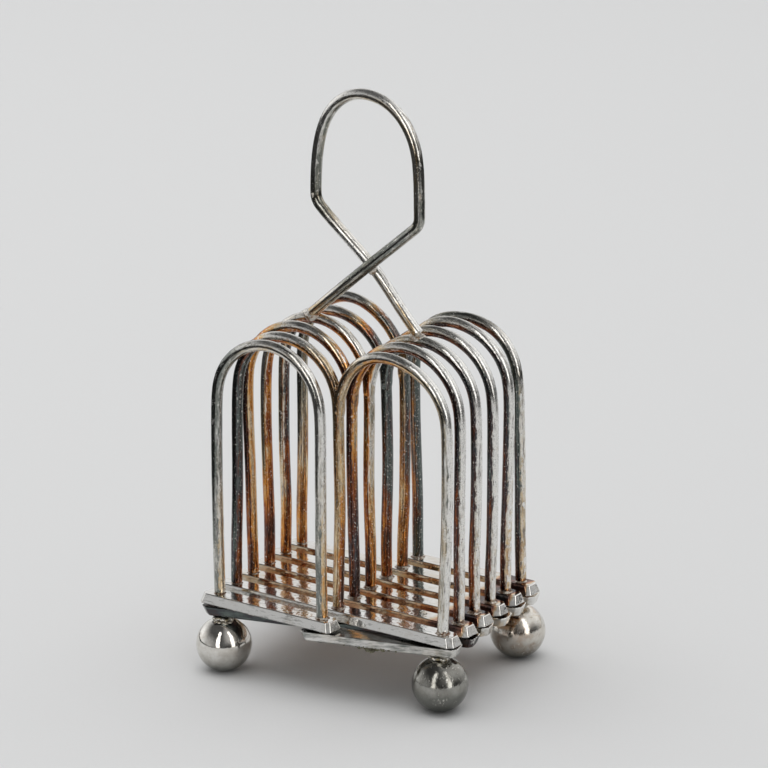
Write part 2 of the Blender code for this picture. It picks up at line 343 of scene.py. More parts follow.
def drill_bar(mesh, places):
    """Drills the pivot holes, and shades the flat faces flat and the rounded edges round."""
    holder = new_object("bar_blank", mesh)
    drills = bmesh.new()
    size = {"radius1": HOLE_RADIUS, "radius2": HOLE_RADIUS, "depth": 4 * BAR_THICKNESS}
    for x in places:
        made = bmesh.ops.create_cone(drills, cap_ends=True, segments=24, **size)
        bmesh.ops.translate(drills, verts=made["verts"], vec=(x, 0, 0))
    drill = new_object("pivot_drills", finished_solid("pivot_drills", drills))
    cut = holder.modifiers.new("drilled", "BOOLEAN")
    cut.operation = "DIFFERENCE"
    cut.solver = "EXACT"
    cut.object = drill
    mesh.shade_smooth()
    drilled = applied(holder)
    drilled.set_sharp_from_angle(angle=math.radians(40))
    holder.modifiers.clear()
    holder.data = drilled
    weigh = holder.modifiers.new("flat_faces", "WEIGHTED_NORMAL")
    weigh.keep_sharp = True
    weigh.weight = 100
    shaded = applied(holder)
    for item in (holder, drill):
        bpy.data.objects.remove(item)
    return shaded


def eased(share):
    share = min(1, max(0, share))
    return share * share * (3 - 2 * share)


def make_bar(layer, k, material):
    """One bar of a layer, turned into its place, with its tarnish and its rubbed edges."""
    is_upper = layer == "upper"
    has_left = k < LAST_FRAME if is_upper else k > 0
    has_right = k > 0 if is_upper else k < LAST_FRAME
    chance = random.Random(f"{layer}{k}")
    node = bar_node(layer, k)
    mesh, start, end = filed_bar(node, has_left, has_right, chance)
    places = [0] + [-PIVOT_REACH] * has_left + [PIVOT_REACH] * has_right
    mesh = drill_bar(mesh, places)
    film = UPPER_BAR_FILM[k] if is_upper else LOWER_BAR_FILM[k]
    dull = UPPER_BAR_DULL[k] if is_upper else LOWER_BAR_DULL[k]
    tarnish = []
    rubbed = []
    for vert in mesh.vertices:
        x, y, z = vert.co
        to_end = min(x - start, end - x)
        flank = max(0, abs(vert.normal.y) - 0.4)
        at_end = max(0, 1 - to_end / BAR_END_KEPT)
        by_right_leg = eased((x / PIVOT_REACH - 0.74) / 0.12) * (1 < k) * is_upper
        patch = noise.noise(Vector((x * 150, 3.7 * k, y * 40)))
        edge = FLANK_FILM[0] + FLANK_FILM[1] * patch
        if k < 2:
            edge = (SECOND_FLANK_FILM[0] + SECOND_FLANK_FILM[1] * patch) * (k == 1) * (x < 0)
        edge *= flank * is_upper
        round_leg = RIGHT_LEG_FILM[0] + RIGHT_LEG_FILM[1] * patch
        level = film + edge * (1 - by_right_leg) + round_leg * by_right_leg
        at_tip = eased(1.6 - to_end / 0.0016) * (film < 0.5)
        tarnish.append(level + (TIP_FILM - level) * at_tip)
        rubbed.append(0.25 * max(0, abs(y) / (BAR_WIDE_FACE / 2) - 0.55) + 0.62 * at_end)
    point_values(mesh, "tarnish", tarnish)
    point_values(mesh, "dull", [dull] * len(tarnish))
    point_values(mesh, "rubbed", rubbed)
    if is_upper:
        turn = Matrix.Rotation(-LEAN, 4, "Z")
        place = centre_pivot(k) + Vector((0, 0, UPPER_BOTTOM_Z))
    else:
        turn = Matrix.Rotation(LEAN, 4, "Z") @ Matrix.Rotation(math.pi, 4, "X")
        place = centre_pivot(k) + Vector((0, 0, LOWER_TOP_Z))
    mesh.transform(Matrix.Translation(place) @ turn)
    body = frame_body(k) if is_upper else lower_body(k)
    add_piece(f"{node}_plate", mesh, material, body, node)


bar_metal = bar_plate()
for k in range(LAST_FRAME + 1):
    make_bar("upper", k, bar_metal)
    make_bar("lower", k, bar_metal)


# The wire arches: round drawn wire bent over a former, so no two are quite alike. Each leg is turned down
# at its foot to a tenon that passes both bars and is hammered into a rivet head below. The inner sides were
# never rubbed by a polishing cloth, so they stay brown, and the outer sides are bright.
WIRE_RADIUS = 0.0016
TENON_RADIUS = 0.0011
RIVET_HEAD_RADIUS = 0.0019
RIVET_HEAD_THICKNESS = 0.0005
LEG_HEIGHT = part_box("arch_left_front")[1].z - WIRE_RADIUS - PIVOT_REACH / 2 - BAR_TOP_Z
ARCH_RADIUS = PIVOT_REACH / 2
WIRE_SIDES = 24
SIDEWAYS = Vector((math.cos(math.radians(28)), math.sin(math.radians(28)), 0))
WIRE_STEP = 0.0009
WIRE_BARE = (0.84, 0.83, 0.80)
WIRE_SCRATCH_AND_PAINTED_STREAK = (0.16, 0.14, 0.13)
WIRE_FLECK = (0.86, 0.82, 0.76)
WIRE_PIT = (0.06, 0.05, 0.045)
WIRE_RELIEF = 0.00007
CROTCH_THINNING = 0.12        # how much thinner a joined arch is where it leaves its neighbour
BENDS_PER_METRE = 22          # how often the hand-bent wire wanders from side to side


def habit(outer, inner, outer_dull, inner_dull, rubbed, rise=0.0, lean=0.0):
    """How one arch differs. The tarnish and dullness of its outer and inner sides run from its left foot,
    by the top of its left leg, its crown and the top of its right leg, to its right foot. Rubbed is how
    clean the outer side is kept. Rise and lean are how far the crown stands high and to the right."""
    return {
        "outer": outer,
        "inner": inner,
        "outer_dull": outer_dull,
        "inner_dull": inner_dull,
        "rubbed": rubbed,
        "rise": rise,
        "lean": lean,
    }


ARCH_BEND = 0.0016
# How far each leg leans out of line at its top, from the front frame to the back.
LEFT_SWAY = (0.0, 0.0011, -0.0005, 0.0, 0.0, 0.0005)
CENTRE_SWAY = (0.0002, 0.0008, 0.0, 0.0, 0.0004, 0.0007, 0.0)
RIGHT_SWAY = (0.0, 0.0014, 0.0007, 0.0006, 0.0006, 0.0009, 0.0)
CLEAN = (0.0, 0.0, 0.0, 0.0, 0.0)
RIGHT_RUBBED = (0.0, 0.10, 0.40, 0.85, 0.55)
ARCH_HABITS = {
    ("left", 0): habit(
        (0.16, 0.08, 0.10, 0.06, 0.40),
        (0.24, 0.10, 0.20, 0.10, 0.14),
        (0.80, 0.85, 0.20, 0.35, 0.10),
        (0.10, 0.75, 0.15, 0.25, 0.90),
        (0.10, 0.25, 0.45, 0.55, 0.10),
    ),
    ("left", 1): habit(
        (0.80, 0.80, 0.06, 0.30, 0.60),
        (0.60, 0.84, 0.54, 0.38, 0.34),
        (0.30, 0.50, 0.15, 0.45, 0.25),
        (0.10, 0.60, 0.10, 0.55, 0.35),
        (0.05, 0.10, 0.50, 0.15, 0.0),
    ),
    ("left", 2): habit(
        (0.60, 0.66, 0.08, 0.40, 0.70),
        (0.40, 0.34, 0.52, 0.62, 0.62),
        (0.0, 0.10, 0.10, 0.20, 0.0),
        CLEAN,
        (0.0, 0.0, 0.40, 0.25, 0.0),
    ),
    ("left", 3): habit(
        (0.58, 0.20, 0.10, 0.16, 0.46),
        (0.54, 0.50, 0.54, 0.46, 0.58),
        (0.0, 0.35, 0.10, 0.40, 0.15),
        (0.0, 0.10, 0.05, 0.05, 0.0),
        (0.0, 0.05, 0.40, 0.30, 0.05),
    ),
    ("left", 4): habit(
        (0.40, 0.22, 0.08, 0.76, 0.60),
        (0.54, 0.72, 0.60, 0.74, 0.52),
        (0.05, 0.10, 0.20, 0.60, 0.25),
        (0.0, 0.50, 0.10, 0.80, 0.30),
        (0.05, 0.25, 0.45, 0.05, 0.0),
    ),
    ("left", 5): habit(
        (0.46, 0.26, 0.06, 0.74, 0.50),
        (0.46, 0.30, 0.58, 0.36, 0.44),
        (0.25, 0.80, 0.45, 0.60, 0.25),
        (0.15, 0.80, 0.20, 0.50, 0.20),
        (0.05, 0.15, 0.40, 0.10, 0.0),
        rise=0.0018,
    ),
    ("right", 1): habit(
        (0.50, 0.30, 0.08, 0.04, 0.04),
        (0.56, 0.60, 0.44, 0.20, 0.14),
        (0.0, 0.25, 0.30, 0.05, 0.32),
        (0.0, 0.20, 0.20, 0.55, 0.35),
        (0.0, 0.20, 0.50, 0.85, 0.50),
    ),
    ("right", 2): habit(
        (0.56, 0.50, 0.08, 0.06, 0.18),
        (0.58, 0.62, 0.66, 0.72, 0.64),
        (0.0, 0.10, 0.38, 0.0, 0.30),
        CLEAN,
        RIGHT_RUBBED,
    ),
    ("right", 3): habit(
        (0.50, 0.40, 0.10, 0.07, 0.22),
        (0.56, 0.60, 0.64, 0.74, 0.60),
        (0.0, 0.10, 0.40, 0.0, 0.25),
        CLEAN,
        RIGHT_RUBBED,
    ),
    ("right", 4): habit(
        (0.50, 0.40, 0.10, 0.08, 0.18),
        (0.56, 0.66, 0.62, 0.76, 0.66),
        (0.0, 0.10, 0.35, 0.0, 0.30),
        (0.0, 0.0, 0.10, 0.10, 0.20),
        RIGHT_RUBBED,
    ),
    ("right", 5): habit(
        (0.50, 0.40, 0.10, 0.08, 0.30),
        (0.56, 0.62, 0.66, 0.74, 0.68),
        (0.0, 0.10, 0.40, 0.05, 0.20),
        CLEAN,
        RIGHT_RUBBED,
    ),
    ("right", 6): habit(
        (0.60, 0.50, 0.12, 0.14, 0.30),
        (0.80, 0.84, 0.62, 0.84, 0.70),
        (0.60, 0.80, 0.70, 0.30, 0.30),
        (0.60, 0.80, 0.20, 0.60, 0.20),
        (0.05, 0.10, 0.25, 0.55, 0.45),
        rise=-0.0015,
        lean=-0.0010,
    ),
}


def film_layer(tree, name, dull_name, noise_shift, bands):
    """The colour of one side of a wire, from the tarnish and the dullness stored under these names."""
    film = stored(tree, name)
    grey = stored(tree, dull_name)
    colour = tarnish_colour(tree, blend_values(tree, "ADD", film, noise_shift))
    return dulled(tree, colour, bands, grey)


def wire_plate(name):
    """Plated wire: streaked along its length, browned inside the arch and rubbed bright outside it."""
    material, tree, shader = start_finish(name)
    place = add_node(tree, "ShaderNodeAttribute", attribute_name="wire_place").outputs["Vector"]
    wear = stored(tree, "rubbed")
    inside = stored(tree, "inside")
    bands = grain(tree, place, 0.0022, detail=4, roughness=0.6, stretch=(1, 1, 6))
    streaks = grain(tree, place, 0.0006, detail=4, roughness=0.65, stretch=(1, 1, 9))
    blotches = grain(tree, place, 0.0012, detail=5, roughness=0.7, stretch=(1, 1, 1.8))
    specks = grain(tree, place, 0.00040, detail=3, roughness=0.6, stretch=(1, 1, 1.6))
    ragged = with_added(tree, inside, swing(tree, blotches), 0.14)
    ragged = with_added(tree, ragged, swing(tree, streaks), 0.16)
    browned = spread(tree, ragged, 0.44, 0.56)
    shift = multiplied(tree, swing(tree, bands), 0.12)
    shift = with_added(tree, shift, swing(tree, streaks), 0.12)
    outer = film_layer(tree, "outer_film", "outer_dull", shift, bands)
    inner = film_layer(tree, "inner_film", "inner_dull", shift, streaks)
    bare = blend_values(tree, "SUBTRACT", 1.0, browned)
    ragged = with_added(tree, wear, swing(tree, blotches, 0.5), 0.7)
    ragged = with_added(tree, ragged, swing(tree, streaks, 0.5), 0.7)
    worn = multiplied(tree, spread(tree, ragged, 0.42, 0.66), bare)
    colour = mix_colour(tree, worn, mix_colour(tree, browned, outer, inner), WIRE_BARE)
    # Dark lines along the wire: partly scratches, partly painted reflection that stands in for the dark
    # streaks a polished wire mirrors.
    scratches_and_painted_streaks = spread(tree, streaks, 0.43, 0.34, 0.0, 0.85)
    colour = mix_colour(tree, multiplied(tree, scratches_and_painted_streaks, bare), colour, WIRE_SCRATCH_AND_PAINTED_STREAK)
    flecks = spread(tree, specks, 0.61, 0.67, 0.0, 0.85)
    colour = mix_colour(tree, flecks, colour, WIRE_FLECK)
    pits = spread(tree, specks, 0.385, 0.33, 0.0, 0.85)
    colour = mix_colour(tree, pits, colour, WIRE_PIT)
    roughness = spread(tree, blotches, 0.3, 0.7, 0.07, 0.20)
    roughness = with_added(tree, roughness, flecks, 0.15)
    roughness = with_added(tree, roughness, worn, 0.12)
    height = with_added(tree, bands, streaks, 0.5)
    height = with_added(tree, height, specks, 0.25)
    finish_metal(tree, shader, colour, roughness, height, WIRE_RELIEF)
    return material


def start_tree(name, inputs, result):
    """A new geometry node tree with named inputs, and the outputs of its input node."""
    tree = bpy.data.node_groups.new(name, "GeometryNodeTree")
    for socket, kind in inputs.items():
        tree.interface.new_socket(socket, in_out="INPUT", socket_type=f"NodeSocket{kind}")
    tree.interface.new_socket(result, in_out="OUTPUT", socket_type="NodeSocketGeometry")
    return tree, add_node(tree, "NodeGroupInput").outputs


def blend_vectors(tree, operation, first, second):
    return add_node(tree, "ShaderNodeVectorMath", {0: first, 1: second}, operation=operation).outputs[0]


def scaled_vector(tree, vector, share):
    return add_node(tree, "ShaderNodeVectorMath", {0: vector, "Scale": share}, operation="SCALE").outputs[0]


def keep_on(tree, geometry, name, value, data_type):
    """Keeps a value on the points of a geometry under a name."""
    inputs = {"Geometry": geometry, "Name": name, "Value": value}
    settings = {"data_type": data_type, "domain": "POINT"}
    return add_node(tree, "GeometryNodeStoreNamedAttribute", inputs, **settings).outputs[0]


def kept_value(tree, name, **settings):
    return add_node(tree, "GeometryNodeInputNamedAttribute", {"Name": name}, **settings).outputs[0]


def smooth_and_coloured(tree, geometry, material):
    """The last nodes of a tree: smooth shading, real geometry and its material."""
    geometry = add_node(tree, "GeometryNodeSetShadeSmooth", {"Geometry": geometry}).outputs[0]
    geometry = add_node(tree, "GeometryNodeRealizeInstances", {"Geometry": geometry}).outputs[0]
    painted = {"Geometry": geometry, "Material": material}
    return add_node(tree, "GeometryNodeSetMaterial", painted).outputs[0]


def wire_tree():
    """Draws a round wire along a line of points, and marks its surface with its place on the wire."""
    inputs = {
        "Line": "Geometry",
        "Wire Radius": "Float",
        "Sides": "Int",
        "Hand Bend": "Float",
        "Seed": "Int",
        "Finish": "Material",
    }
    tree, given = start_tree("drawn_wire", inputs, "Wire")
    line = add_node(tree, "GeometryNodeMeshToCurve", {"Mesh": given["Line"]}).outputs[0]
    spot = add_node(tree, "GeometryNodeInputPosition").outputs[0]
    seeded = add_node(tree, "ShaderNodeCombineXYZ", {"X": given["Seed"], "Y": 0.0, "Z": 0.0}).outputs[0]
    apart = blend_vectors(tree, "MULTIPLY", spot, (BENDS_PER_METRE,) * 3)
    apart = blend_vectors(tree, "ADD", apart, seeded)
    gentle = {"Vector": apart, "Scale": 1.0, "Detail": 0.0}
    wander = add_node(tree, "ShaderNodeTexNoise", gentle).outputs["Color"]
    centred = blend_vectors(tree, "SUBTRACT", wander, (0.5, 0.5, 0.5))
    reach = multiplied(tree, given["Hand Bend"], kept_value(tree, "freedom"))
    offset = scaled_vector(tree, centred, reach)
    line = add_node(tree, "GeometryNodeSetPosition", {"Geometry": line, "Offset": offset}).outputs[0]
    along = add_node(tree, "GeometryNodeSplineParameter").outputs["Length"]
    line = keep_on(tree, line, "along", along, "FLOAT")
    ring_inputs = {"Resolution": given["Sides"], "Radius": given["Wire Radius"]}
    ring = add_node(tree, "GeometryNodeCurvePrimitiveCircle", ring_inputs).outputs["Curve"]
    ring = keep_on(tree, ring, "around", spot, "FLOAT_VECTOR")
    thickness = kept_value(tree, "thickness")
    sweep = {"Curve": line, "Profile Curve": ring, "Scale": thickness, "Fill Caps": True}
    wire = add_node(tree, "GeometryNodeCurveToMesh", sweep).outputs[0]
    around = kept_value(tree, "around", data_type="FLOAT_VECTOR")
    parts = add_node(tree, "ShaderNodeSeparateXYZ", {0: around}).outputs
    straight = {"X": parts[0], "Y": parts[1], "Z": kept_value(tree, "along")}
    straight = add_node(tree, "ShaderNodeCombineXYZ", straight).outputs[0]
    shifted = blend_vectors(tree, "ADD", straight, seeded)
    wire = keep_on(tree, wire, "wire_place", shifted, "FLOAT_VECTOR")
    add_node(tree, "NodeGroupOutput", {"Wire": smooth_and_coloured(tree, wire, given["Finish"])})
    return tree


def grown_mesh(start, tree, values, name):
    """Runs a geometry node tree on a starting mesh and returns the result as a plain mesh."""
    holder = new_object(name, start)
    modifier = holder.modifiers.new(name, "NODES")
    modifier.node_group = tree
    for item in tree.interface.items_tree:
        if item.in_out == "INPUT" and item.name in values:
            modifier[item.identifier] = values[item.name]
    mesh = applied(holder)
    mesh.name = name
    bpy.data.objects.remove(holder)
    return mesh


WIRE_MARKS = ("outer_film", "inner_film", "outer_dull", "inner_dull", "wear")


def line_mesh(name, points):
    """A line through points given as (position, thickness, freedom to wander, five marks of the finish)."""
    mesh = bpy.data.meshes.new(name)
    positions = [point[0] for point in points]
    mesh.from_pydata(positions, [(i, i + 1) for i in range(len(points) - 1)], [])
    point_values(mesh, "thickness", [point[1] for point in points])
    point_values(mesh, "freedom", [point[2] for point in points])
    for i, mark in enumerate(WIRE_MARKS):
        point_values(mesh, mark, [point[3][i] for point in points])
    return mesh


def along_levels(levels, share):
    """Reads evenly spaced levels at a share from 0 to 1 along the wire."""
    spot = min(len(levels) - 1.001, max(0, share * (len(levels) - 1)))
    before = int(spot)
    return levels[before] + (levels[before + 1] - levels[before]) * eased(spot - before)


def tenon_stations():
    """Heights above the bar and thicknesses of a leg's tenon, from its rivet head to its shoulder."""
    under_bar = LOWER_BOTTOM_Z - 0.0003 - BAR_TOP_Z
    shank = TENON_RADIUS / WIRE_RADIUS
    head = RIVET_HEAD_RADIUS / WIRE_RADIUS
    dome = [
        (under_bar - RIVET_HEAD_THICKNESS * math.sin(angle), head * math.cos(angle))
        for angle in (math.radians(a) for a in (80, 65, 45, 25, 8))
    ]
    shoulder = [(0.0002, shank), (0.0003, 0.93), (0.0006, 1.0)]
    return dome + [(under_bar, head), (under_bar + 0.0001, shank)] + shoulder


def wire_marks(ways, share):
    levels = (ways["outer"], ways["inner"], ways["outer_dull"], ways["inner_dull"], ways["rubbed"])
    return [along_levels(level, share) for level in levels]


def joined_ways(ways, left):
    """An arch that starts in its neighbour's leg takes its colours from it, left for right."""
    swapped = {"outer": "inner", "inner": "outer", "outer_dull": "inner_dull", "inner_dull": "outer_dull"}
    joined = dict(ways)
    for mark, other in swapped.items():
        joined[mark] = (left[other][4], left[other][3]) + ways[mark][2:]
    return joined


def arch_line_points(foot, ways, sways, joined):
    """From the left foot over the crown to the right foot. A joined arch starts in its neighbour's leg."""
    spots = []
    if not joined:
        spots += [(0, up, size, 0) for up, size in tenon_stations()]
        steps = int(LEG_HEIGHT / WIRE_STEP / 2)
        spots += [(0, LEG_HEIGHT * i / steps, 1, 1) for i in range(1, steps)]
    steps = int(math.pi * ARCH_RADIUS / WIRE_STEP)
    for i in range(steps + 1):
        angle = math.pi * i / steps
        across = ARCH_RADIUS * (1 - math.cos(angle))
        size = 1 - CROTCH_THINNING * (1 - eased(angle / 0.35)) if joined else 1
        spots.append((across, LEG_HEIGHT + ARCH_RADIUS * math.sin(angle), size, 1))
    steps = int(LEG_HEIGHT / WIRE_STEP / 2)
    spots += [(PIVOT_REACH, LEG_HEIGHT * (1 - i / steps), 1, 1) for i in range(1, steps)]
    spots += [(PIVOT_REACH, up, size, 0) for up, size in reversed(tenon_stations())]
    points = []
    for across, up, size, free in spots:
        high = eased(up / (LEG_HEIGHT + ARCH_RADIUS))
        share = across / PIVOT_REACH
        if up < LEG_HEIGHT:
            leg = 0.25 * max(0, up) / LEG_HEIGHT
            share = leg if across < ARCH_RADIUS else 1 - leg
        else:
            share = 0.25 + 0.5 * share
        middle = 1 - abs(across - ARCH_RADIUS) / ARCH_RADIUS
        near_left = eased(1 - across / ARCH_RADIUS / 0.9)
        near_right = eased(1 - (PIVOT_REACH - across) / ARCH_RADIUS / 0.9)
        sway = (sways[0] * near_left + sways[1] * near_right) * eased(up / LEG_HEIGHT / 0.7)
        spot = UPPER_ALONG * (across + ways["lean"] * high) + SIDEWAYS * sway
        spot.z = up + ways["rise"] * eased(middle) * high
        points.append((foot + spot, size, eased(up / 0.02) * free, wire_marks(ways, share)))
    return points


def sprung(points, held, turns=24):
    """Wire springs back a little after it is bent, so straight runs into bend without a sudden change."""
    places = [point[0] for point in points]
    for turn in range(turns):
        middles = [(before + after) / 2 for before, after in zip(places, places[2:])]
        free = [0] + [0 if hold else 0.5 for hold in held[1:-1]] + [0]
        places = [
            place.lerp(middle, share)
            for place, middle, share in zip(places, [places[0]] + middles + [places[-1]], free)
        ]
    return [(place,) + point[1:] for place, point in zip(places, points)]


def mark_sides(mesh, centre):
    """Tells the finish which side of a bent wire faces the middle of its bend, and where it is worn."""
    wear = [0.0] * len(mesh.vertices)
    mesh.attributes["wear"].data.foreach_get("value", wear)
    inside = []
    rubbed = []
    for vert, level in zip(mesh.vertices, wear):
        away = vert.co - centre
        away = SIDEWAYS * away.dot(UPPER_ALONG) + Vector((0, 0, max(0, away.z)))
        outer = vert.normal.dot(away.normalized())
        inside.append(0.5 - 0.5 * outer)
        rubbed.append(level * eased(0.6 + 0.6 * outer))
    point_values(mesh, "inside", inside)
    point_values(mesh, "rubbed", rubbed)


def drawn(points, tree, bend, seed, material, name):
    """The wire that a tree draws along a line of points."""
    values = {
        "Wire Radius": WIRE_RADIUS,
        "Sides": WIRE_SIDES,
        "Hand Bend": bend,
        "Seed": seed,
        "Finish": material,
    }
    return grown_mesh(line_mesh(f"{name}_line", points), tree, values, name)


def make_arch(side, k, tree, material):
    ways = ARCH_HABITS[side, k]
    foot = left_pivot(k) if side == "left" else centre_pivot(k)
    foot = foot + Vector((0, 0, BAR_TOP_Z))
    end = {0: "front", LAST_FRAME: "back"}.get(k, k)
    node = f"arch_{side}_{end}"
    joined = side == "right" and k < LAST_FRAME
    if joined:
        ways = joined_ways(ways, ARCH_HABITS["left", k])
    sways = (LEFT_SWAY[k], CENTRE_SWAY[k]) if side == "left" else (CENTRE_SWAY[k], RIGHT_SWAY[k])
    points = arch_line_points(foot, ways, sways, joined)
    points = sprung(points, [place.z < BAR_TOP_Z + 0.022 for place, *marks in points])
    mesh = drawn(points, tree, ARCH_BEND, k, material, f"{node}_wire")
    middle = foot + UPPER_ALONG * ARCH_RADIUS + Vector((0, 0, LEG_HEIGHT))
    mark_sides(mesh, middle)
    add_piece(f"{node}_wire", mesh, material, frame_body(k), node)


drawn_wire = wire_tree()
wire_metal = wire_plate("wire_plate")
for side, k in ARCH_HABITS:
    make_arch(side, k, drawn_wire, wire_metal)


# The handle: one longer piece of the same wire. Its ends stand on the crowns of the two middle arches, and
# its stretches cross, bend upwards and close in a round loop. Handling keeps it cleaner than the arches.
HANDLE_WIDTH = 0.0358
HANDLE_CROSS_RISE = 0.0335
HANDLE_SIDE_LENGTH = 0.0165
HANDLE_BEND_RADIUS = 0.0045
HANDLE_GAP = 0.0003
HANDLE_BEND = 0.0012
HANDLE_SEED = 31
HANDLE_FOOT_RISE = 0.0016
HANDLE_LEFT_RISE = 0.0010
HANDLE_RIGHT_RISE = -0.0007
HANDLE_TOP_RISE = 0.0001
HANDLE_LEFT_FOOT_OUT = 0.0014
HANDLE_RIGHT_FOOT_IN = 0.0010
HANDLE_LEFT_LEAN = 0.0016
# From the foot on the left arch, up the right side, over the top and down the left side to the right arch.
HANDLE_WAYS = {
    "outer": (0.30, 0.20, 0.18, 0.14, 0.12, 0.12, 0.12, 0.10, 0.12, 0.14, 0.06, 0.05, 0.10),
    "inner": (0.50, 0.20, 0.16, 0.16, 0.14, 0.14, 0.14, 0.14, 0.20, 0.20, 0.10, 0.10, 0.30),
    "outer_dull": (0.45, 0.80, 0.80, 0.65, 0.55, 0.15, 0.0, 0.05, 0.50, 0.60, 0.0, 0.0, 0.10),
    "inner_dull": (0.45, 0.80, 0.85, 0.65, 0.10, 0.05, 0.35, 0.60, 0.80, 0.75, 0.25, 0.20, 0.30),
    "rubbed": (0.05, 0.10, 0.10, 0.20, 0.30, 0.60, 0.90, 0.65, 0.15, 0.10, 0.85, 0.90, 0.60),
}


def handle_half():
    """From one crown up past the crossing, round the bend and up the side, as (across, forward, up)."""
    crown = LEG_HEIGHT + ARCH_RADIUS
    bend_z = crown + HANDLE_CROSS_RISE
    side = HANDLE_WIDTH / 2
    bend = Vector((side, 0, bend_z))
    foot = Vector((-ARCH_RADIUS, 0, crown + HANDLE_FOOT_RISE))
    along = (bend - foot).normalized()
    turn = math.acos(along.z)
    trim = HANDLE_BEND_RADIUS * math.tan(turn / 2)
    points = []
    steps = 44
    for i in range(steps + 1):
        share = i / steps
        point = foot.lerp(bend - along * trim, share)
        point.y = -(WIRE_RADIUS + HANDLE_GAP / 2) * math.sin(math.pi * share) ** 2
        points.append(point)
    centre = Vector((side - HANDLE_BEND_RADIUS, 0, bend_z + trim))
    steps = 8
    for i in range(1, steps + 1):
        angle = -turn * (1 - i / steps)
        points.append(centre + Vector((math.cos(angle), 0, math.sin(angle))) * HANDLE_BEND_RADIUS)
    top_z = bend_z + HANDLE_SIDE_LENGTH
    steps = 10
    low_z = points[-1].z
    points += [Vector((side, 0, low_z + (top_z - low_z) * i / steps)) for i in range(1, steps)]
    return points, top_z


def make_handle(tree, material):
    half, top_z = handle_half()
    loop_radius = HANDLE_WIDTH / 2
    steps = 60
    loop = []
    for i in range(steps + 1):
        angle = math.pi * i / steps
        loop.append(Vector((loop_radius * math.cos(angle), 0, top_z + loop_radius * math.sin(angle))))
    flat = half + loop + [Vector((-p.x, -p.y, p.z)) for p in reversed(half)]
    crown = LEG_HEIGHT + ARCH_RADIUS
    forward = Vector((-UPPER_ALONG.y, UPPER_ALONG.x, 0))
    base = centre_pivot(MIDDLE_FRAME) + Vector((0, 0, BAR_TOP_Z))
    points = []
    for i, p in enumerate(flat):
        share = i / (len(flat) - 1)
        up = min(1, (p.z - crown) / HANDLE_CROSS_RISE)
        over = eased((p.z - top_z) / loop_radius)
        side_rise = HANDLE_RIGHT_RISE if share < 0.5 else HANDLE_LEFT_RISE
        rise = up * (side_rise * (1 - over) + HANDLE_TOP_RISE * over)
        out = (HANDLE_LEFT_FOOT_OUT if share < 0.5 else HANDLE_RIGHT_FOOT_IN) * (1 - up)
        round_loop = min(1, max(0, (p.z - top_z) / loop_radius * 0.8 + 0.2))
        out -= HANDLE_LEFT_LEAN * math.sin(math.pi * round_loop) * (share > 0.5)
        place = base + UPPER_ALONG * (p.x - out) + forward * p.y + Vector((0, 0, p.z + rise))
        freedom = eased(share / 0.12) * eased((1 - share) / 0.12)
        points.append((place, 1, freedom, wire_marks(HANDLE_WAYS, share)))
    low = base.z + top_z - 0.011
    points = sprung(points, [place.z < low for place, *marks in points], 40)
    mesh = drawn(points, tree, HANDLE_BEND, HANDLE_SEED, material, "handle_loop")
    mark_sides(mesh, base + Vector((0, 0, top_z)))
    add_piece("handle_loop", mesh, material, "middle_frame", "handle_wire")


handle_metal = wire_plate("handle_plate")
make_handle(drawn_wire, handle_metal)


# The ball feet: turned or pressed balls, soldered under the four corner pivots. They are kept brightest,
# and each has a small flat where it stands and a shallow recess round the rivet head.
BALL_RADIUS = 0.00795
BALL_INSET = 0.0010
BALL_FLAT_RADIUS = 0.0020
BALL_SIDES = 72
BALL_RINGS = 44
BALL_CENTRE_Z = math.sqrt(BALL_RADIUS ** 2 - BALL_FLAT_RADIUS ** 2)
BALL_SCUFF = (0.30, 0.26, 0.23)
BALL_CLOUD = (0.50, 0.40, 0.39)
BALL_DULL_AND_SHADE = (0.17, 0.175, 0.16)
BALL_SCRAPED = (0.80, 0.78, 0.72)
BALL_RELIEF = 0.00008
# For each ball: its lower bar, its place, its tarnish, how scuffed it is, and how dull it is all over, which
# the painted shade towards its bottom adds to.
BALLS = {
    "ball_foot_front_left": (1, left_pivot(0) + Vector((BALL_INSET, 0, 0)), 0.08, 0.30, 0.12),
    "ball_foot_front_right": (0, right_pivot(1) - Vector((BALL_INSET, 0, 0)), 0.12, 0.95, 0.82),
    "ball_foot_back_left": (LAST_FRAME, left_pivot(5) + Vector((BALL_INSET, 0, 0)), 0.10, 0.40, 0.30),
    "ball_foot_back_right": (5, right_pivot(LAST_FRAME) - Vector((BALL_INSET, 0, 0)), 0.15, 0.80, 0.15),
}


